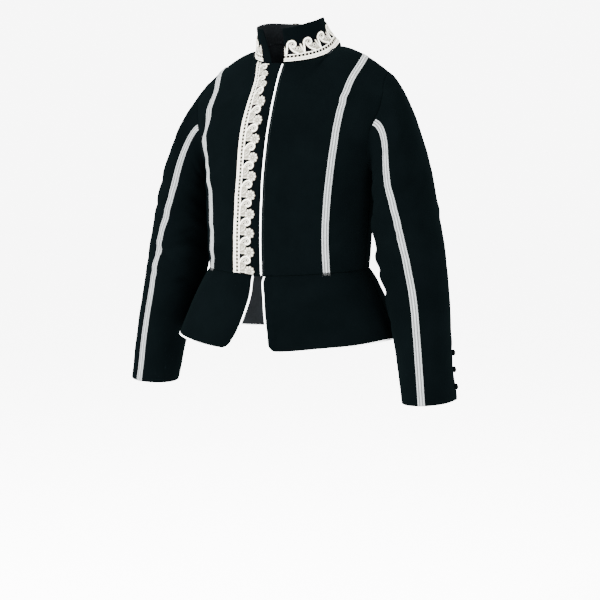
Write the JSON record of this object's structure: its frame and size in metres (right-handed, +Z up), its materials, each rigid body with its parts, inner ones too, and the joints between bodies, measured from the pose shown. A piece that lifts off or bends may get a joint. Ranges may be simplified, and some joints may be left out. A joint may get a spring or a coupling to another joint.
{
  "type": "doublet",
  "caption": "Worn-pose dark velvet doublet: hollow bodice with a standing collar, flared skirt and long sleeves, trimmed with braid, piping and scalloped lace.",
  "frame": {"origin": "on the centre plane at the height of the shoulder seams' neck ends, in the middle of the neck, where the wearer's neck and shoulders hold the doublet", "axes": "+Z up, -Y the wearer's front, +X the wearer's left"},
  "size_m": [0.6838, 0.3352, 0.7079],
  "materials": {
    "black_velvet": "deep matt pile, very dark blue-black",
    "silver_braid": "ribbed, soft metallic sheen",
    "white_piping": "smooth satin cord",
    "ivory_lace": "matt cotton thread"
  },
  "bodies": {
    "root": {"back": "black_velvet", "back_yoke": "black_velvet", "braid_front_left": "silver_braid", "braid_front_right": "silver_braid", "braid_sleeve_left": "silver_braid", "braid_sleeve_right": "silver_braid", "collar": "black_velvet", "cuff_button_left_1": "black_velvet", "cuff_button_left_2": "black_velvet", "cuff_button_left_3": "black_velvet", "cuff_button_right_1": "black_velvet", "cuff_button_right_2": "black_velvet", "cuff_button_right_3": "black_velvet", "forearm_under_left": "black_velvet", "forearm_under_right": "black_velvet", "forearm_upper_left": "black_velvet", "forearm_upper_right": "black_velvet", "front_left": "black_velvet", "front_left_yoke": "black_velvet", "front_right": "black_velvet", "front_right_yoke": "black_velvet", "lace_collar": "ivory_lace", "lace_front": "ivory_lace", "piping_front_left": "white_piping", "piping_skirt_back": "white_piping", "piping_skirt_left": "white_piping", "piping_skirt_right": "white_piping", "side_front_left": "black_velvet", "side_front_right": "black_velvet", "skirt_back": "black_velvet", "skirt_front_left": "black_velvet", "skirt_front_right": "black_velvet", "sleeve_under_left": "black_velvet", "sleeve_under_right": "black_velvet", "sleeve_upper_left": "black_velvet", "sleeve_upper_right": "black_velvet"}
  },
  "joints": []
}
